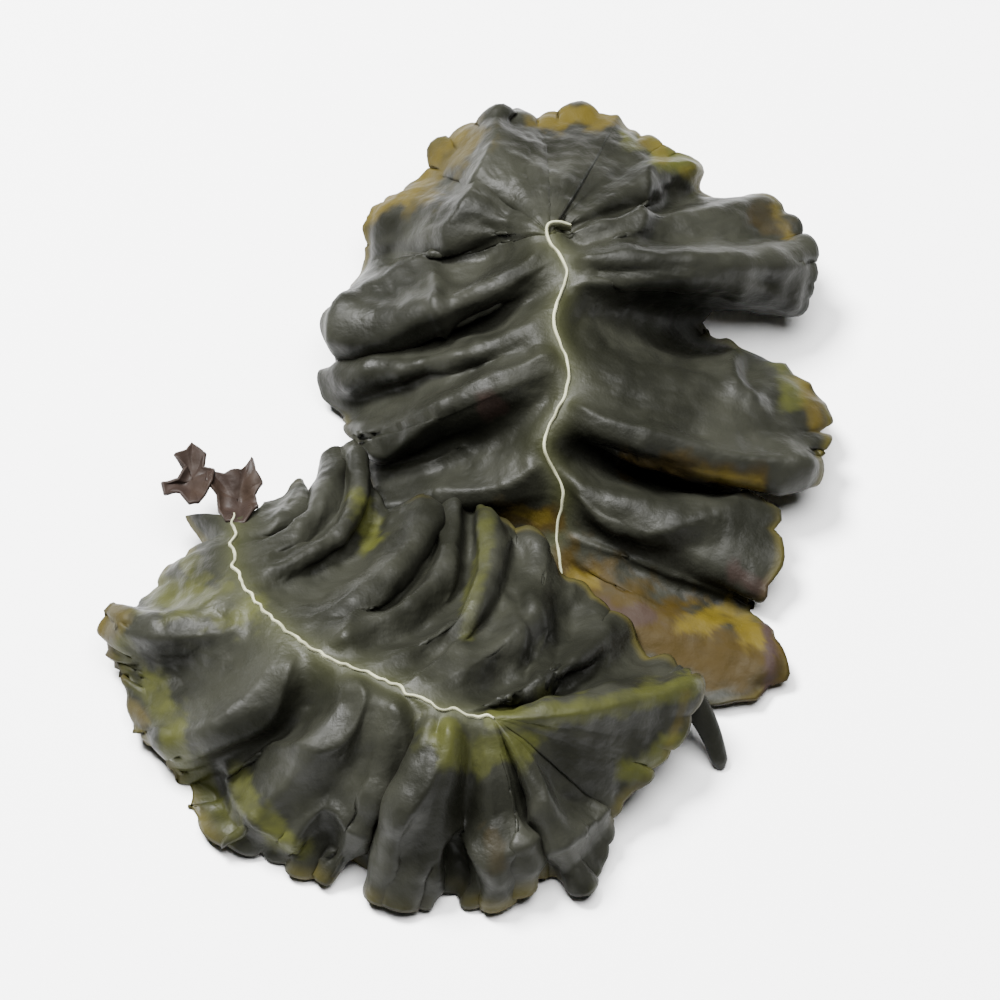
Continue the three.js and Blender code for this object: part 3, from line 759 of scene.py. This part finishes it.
def laminaMaterial():
    material = bpy.data.materials.new("driedLamina")
    material.use_nodes = True
    nodes = material.node_tree.nodes
    links = material.node_tree.links
    shader = nodes["Principled BSDF"]
    place = nodes.new("ShaderNodeTexCoord").outputs["Object"]

    def attribute(name):
        node = nodes.new("ShaderNodeAttribute")
        node.attribute_name = name
        return node.outputs["Fac"]

    def noise(scale, detail=3):
        node = nodes.new("ShaderNodeTexNoise")
        node.inputs["Scale"].default_value = scale
        node.inputs["Detail"].default_value = detail
        links.new(place, node.inputs["Vector"])
        return node.outputs["Fac"]

    def between(value, low, high):
        node = nodes.new("ShaderNodeMapRange")
        node.interpolation_type = "SMOOTHSTEP"
        links.new(value, node.inputs["Value"])
        node.inputs["From Min"].default_value = low
        node.inputs["From Max"].default_value = high
        return node.outputs["Result"]

    def calculate(operation, a, b):
        node = nodes.new("ShaderNodeMath")
        node.operation = operation
        for socket, value in zip(node.inputs, (a, b)):
            if isinstance(value, (int, float)):
                socket.default_value = value
            else:
                links.new(value, socket)
        return node.outputs["Value"]

    def blend(share, under, over):
        node = nodes.new("ShaderNodeMix")
        node.data_type = "RGBA"
        links.new(share, node.inputs[0])
        for socket, value in ((node.inputs[6], under), (node.inputs[7], over)):
            if isinstance(value, tuple):
                socket.default_value = (*value, 1)
            else:
                links.new(value, socket)
        return node.outputs[2]

    look = laminaLook
    colour = blend(between(noise(70), 0.35, 0.7), look["dark"], look["light"])
    oliveShare = calculate("MULTIPLY", attribute("olive"), between(noise(110), 0.2, 0.65))
    colour = blend(oliveShare, colour, look["olive"])
    colour = blend(calculate("MULTIPLY", attribute("halo"), look["haloShare"]), colour, look["halo"])
    rimShare = calculate("MULTIPLY", attribute("rim"), between(noise(45, 2), 0.42, 0.62))
    colour = blend(calculate("MULTIPLY", rimShare, look["rimShare"]), colour, look["rim"])
    mottle = between(noise(120, 4), 0.05, 0.55)
    # painted light shining through the thin amber and gold sheets, laid over their own tint and mottled
    for kind in ("amberTintAndShineThrough", "goldTintAndShineThrough"):
        colour = blend(calculate("MULTIPLY", attribute(kind), mottle), colour, look[kind])
    colour = blend(attribute("brown"), colour, look["brown"])
    links.new(colour, shader.inputs["Base Color"])
    rough = nodes.new("ShaderNodeMapRange")
    links.new(noise(160, 4), rough.inputs["Value"])
    rough.inputs["From Min"].default_value = 0.3
    rough.inputs["From Max"].default_value = 0.7
    rough.inputs["To Min"].default_value, rough.inputs["To Max"].default_value = look["roughness"]
    # the thin yellow and amber margins are duller
    thin = calculate("MAXIMUM", attribute("amberTintAndShineThrough"), attribute("goldTintAndShineThrough"))
    duller = calculate("MULTIPLY", thin, look["thinRoughness"])
    links.new(calculate("ADD", rough.outputs["Result"], duller), shader.inputs["Roughness"])
    shader.inputs["Specular IOR Level"].default_value = look["specular"]
    # fine leathery wrinkles over small pits
    bump = nodes.new("ShaderNodeBump")
    bump.inputs["Strength"].default_value = look["bumpStrength"]
    bump.inputs["Distance"].default_value = look["bumpDepth"]
    wrinkles = calculate("ADD", noise(260, 5), calculate("MULTIPLY", noise(900, 2), 0.25))
    links.new(wrinkles, bump.inputs["Height"])
    links.new(bump.outputs["Normal"], shader.inputs["Normal"])
    return material


cutFaceLook = {"dull": (0.15, 0.152, 0.09), "pale": (0.31, 0.315, 0.2), "grain": 220, "roughness": 0.7}


def rimMaterial():
    material = bpy.data.materials.new("cutFace")
    material.use_nodes = True
    nodes = material.node_tree.nodes
    links = material.node_tree.links
    shader = nodes["Principled BSDF"]
    noise = nodes.new("ShaderNodeTexNoise")
    noise.inputs["Scale"].default_value = cutFaceLook["grain"]
    links.new(nodes.new("ShaderNodeTexCoord").outputs["Object"], noise.inputs["Vector"])
    ramp = nodes.new("ShaderNodeValToRGB")
    for stop, position, shade in zip(ramp.color_ramp.elements, (0.35, 0.65), ("dull", "pale")):
        stop.position = position
        stop.color = (*cutFaceLook[shade], 1)
    links.new(noise.outputs["Fac"], ramp.inputs["Fac"])
    links.new(ramp.outputs["Color"], shader.inputs["Base Color"])
    shader.inputs["Roughness"].default_value = cutFaceLook["roughness"]
    return material


lamina = laminaMaterial()
for piece in sheets + scraps + [strip]:
    piece.data.materials.append(lamina)
cutFace = rimMaterial()
for piece in rims:
    piece.data.materials.append(cutFace)
print("materials")


studio = {
    "floor": {"size": 6, "shade": 0.97, "roughness": 0.9},
    "lights": {
        "keyLight": {"place": (-0.45, 0.35, 1.1), "size": 0.45, "power": 82},
        "topLight": {"place": (0.15, -0.05, 1.3), "size": 1.0, "power": 43},
    },
    "horizon": 0.15,
    "overhead": 4.2,
    "brightFrom": 0.78,  # height on the unit dome above which the studio brightens
}


def addFloor():
    bpy.ops.object.select_all(action="DESELECT")
    bpy.ops.mesh.primitive_plane_add(size=studio["floor"]["size"], location=(0, 0, 0))
    floor = bpy.context.object
    floor.name = "floor"
    material = bpy.data.materials.new("paleFloor")
    material.use_nodes = True
    shader = material.node_tree.nodes["Principled BSDF"]
    shader.inputs["Base Color"].default_value = (*[studio["floor"]["shade"]] * 3, 1)
    shader.inputs["Roughness"].default_value = studio["floor"]["roughness"]
    floor.data.materials.append(material)


def addArea(name, place, size, power):
    # a round soft light, turned to the middle of the floor
    bpy.ops.object.light_add(type="AREA", location=place)
    lamp = bpy.context.object
    lamp.name = name
    lamp.data.shape = "DISK"
    lamp.data.size = size
    lamp.data.energy = power
    way = -np.array(place, float)
    flat = math.hypot(way[0], way[1])
    lamp.rotation_euler = (math.atan2(flat, -way[2]), 0, math.atan2(way[1], way[0]) - math.pi / 2)


def addCamera():
    half = view["imageSize"] / 2
    x = (half - view["originPixel"][0]) * view["pixel"]
    rise = (view["originPixel"][1] - half) * view["pixel"]
    height = 12.0  # of the middle of the view above the floor
    y = (rise - height * math.cos(view["elevation"])) / math.sin(view["elevation"])
    target = toFrame(np.array([x, y, height]))
    back = view["distance"] * mm
    place = target + back * np.array([0, -math.cos(view["elevation"]), math.sin(view["elevation"])])
    bpy.ops.object.camera_add(location=place, rotation=(math.pi / 2 - view["elevation"], 0, 0))
    camera = bpy.context.object
    camera.data.sensor_width = 36
    camera.data.lens = 36 * view["distance"] / (view["imageSize"] * view["pixel"])
    camera.data.clip_start = 0.05
    bpy.context.scene.camera = camera


def addWorld():
    # a soft white studio, bright overhead and dimmer towards the horizon
    world = bpy.data.worlds.new("studio")
    world.use_nodes = True
    nodes = world.node_tree.nodes
    links = world.node_tree.links
    height = nodes.new("ShaderNodeSeparateXYZ")
    links.new(nodes.new("ShaderNodeTexCoord").outputs["Generated"], height.inputs["Vector"])
    strength = nodes.new("ShaderNodeMapRange")
    links.new(height.outputs["Z"], strength.inputs["Value"])
    strength.inputs["From Min"].default_value = studio["brightFrom"]
    strength.inputs["From Max"].default_value = 1
    strength.inputs["To Min"].default_value = studio["horizon"]
    strength.inputs["To Max"].default_value = studio["overhead"]
    links.new(strength.outputs["Result"], nodes["Background"].inputs["Strength"])
    bpy.context.scene.world = world


addFloor()
for name, light in studio["lights"].items():
    addArea(name, light["place"], light["size"], light["power"])
addCamera()
addWorld()
print("floor, light and camera")
